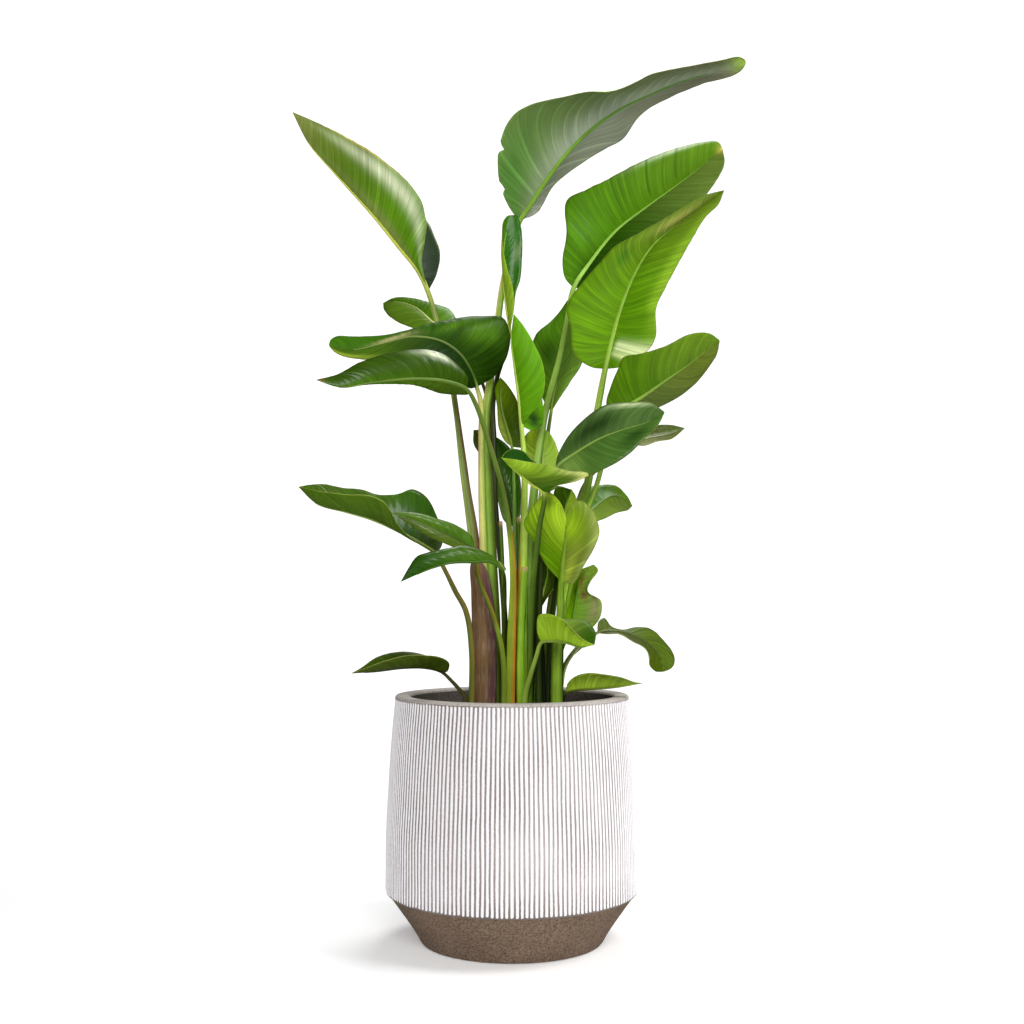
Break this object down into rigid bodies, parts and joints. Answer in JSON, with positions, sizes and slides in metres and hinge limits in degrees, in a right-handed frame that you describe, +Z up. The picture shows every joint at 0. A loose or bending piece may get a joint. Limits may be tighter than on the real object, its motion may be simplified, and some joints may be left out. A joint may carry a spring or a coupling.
{
  "type": "potted bird of paradise",
  "caption": "Tall potted house plant: paddle-shaped leaves on long stalks, rising from soil in a round ribbed clay planter with a tapered foot.",
  "frame": {"origin": "centre of the planter's flat foot, on the surface it stands on", "axes": "+Z up along the planter's axis; +X to the viewer's right and +Y away from the viewer, seen from the front"},
  "size_m": [0.7791, 0.487, 1.4331],
  "materials": {
    "washed_clay": "white-washed raised ribs over bare taupe fired clay, matt",
    "potting_soil": "damp dark bark and peat, rough",
    "leaf_light": "pale underside of a leaf, satin",
    "leaf_mid": "mid green leaf, waxy satin",
    "leaf_bright": "bright young leaf, waxy satin",
    "leaf_lime": "yellow-green leaf, waxy satin",
    "leaf_grey_green": "powdery grey-green underside, matt",
    "leaf_olive": "olive green leaf, satin",
    "leaf_dark": "deep green leaf, waxy gloss",
    "dry_husk": "dead leaf sheath, dry and matt"
  },
  "bodies": {
    "root": {"planter": "washed_clay", "potting_soil": "potting_soil", "leaf_high_left": "leaf_light", "leaf_back_left": "leaf_mid", "leaf_arched_left": "leaf_dark", "leaf_front_left": "leaf_dark", "leaf_top_right": "leaf_grey_green", "leaf_upper_right": "leaf_bright", "leaf_right_bright": "leaf_bright", "leaf_right_middle": "leaf_mid", "leaf_right_dark": "leaf_dark", "leaf_cupped_centre": "leaf_lime", "leaf_centre_heart": "leaf_lime", "leaf_behind_heart": "leaf_mid", "leaf_right_small": "leaf_olive", "leaf_rolled_top": "leaf_mid", "leaf_folded_centre": "leaf_bright", "leaf_back_dark": "leaf_dark", "leaf_olive_narrow": "leaf_olive", "leaf_back_light": "leaf_lime", "leaf_shaded_centre": "leaf_dark", "leaf_low_left": "leaf_dark", "leaf_low_left_second": "leaf_dark", "leaf_low_left_third": "leaf_dark", "leaf_rim_left": "leaf_mid", "leaf_curled_low": "leaf_lime", "leaf_low_right": "leaf_mid", "leaf_rim_right": "leaf_lime", "leaf_spotted": "leaf_lime", "leaf_back_olive": "leaf_olive", "leaf_tucked_small": "leaf_olive", "cut_stalk_left": "leaf_mid", "cut_stalk_right": "leaf_mid", "shaded_stalk_left": "leaf_dark", "shaded_stalk_centre": "leaf_dark", "dry_sheath": "dry_husk"}
  },
  "joints": []
}
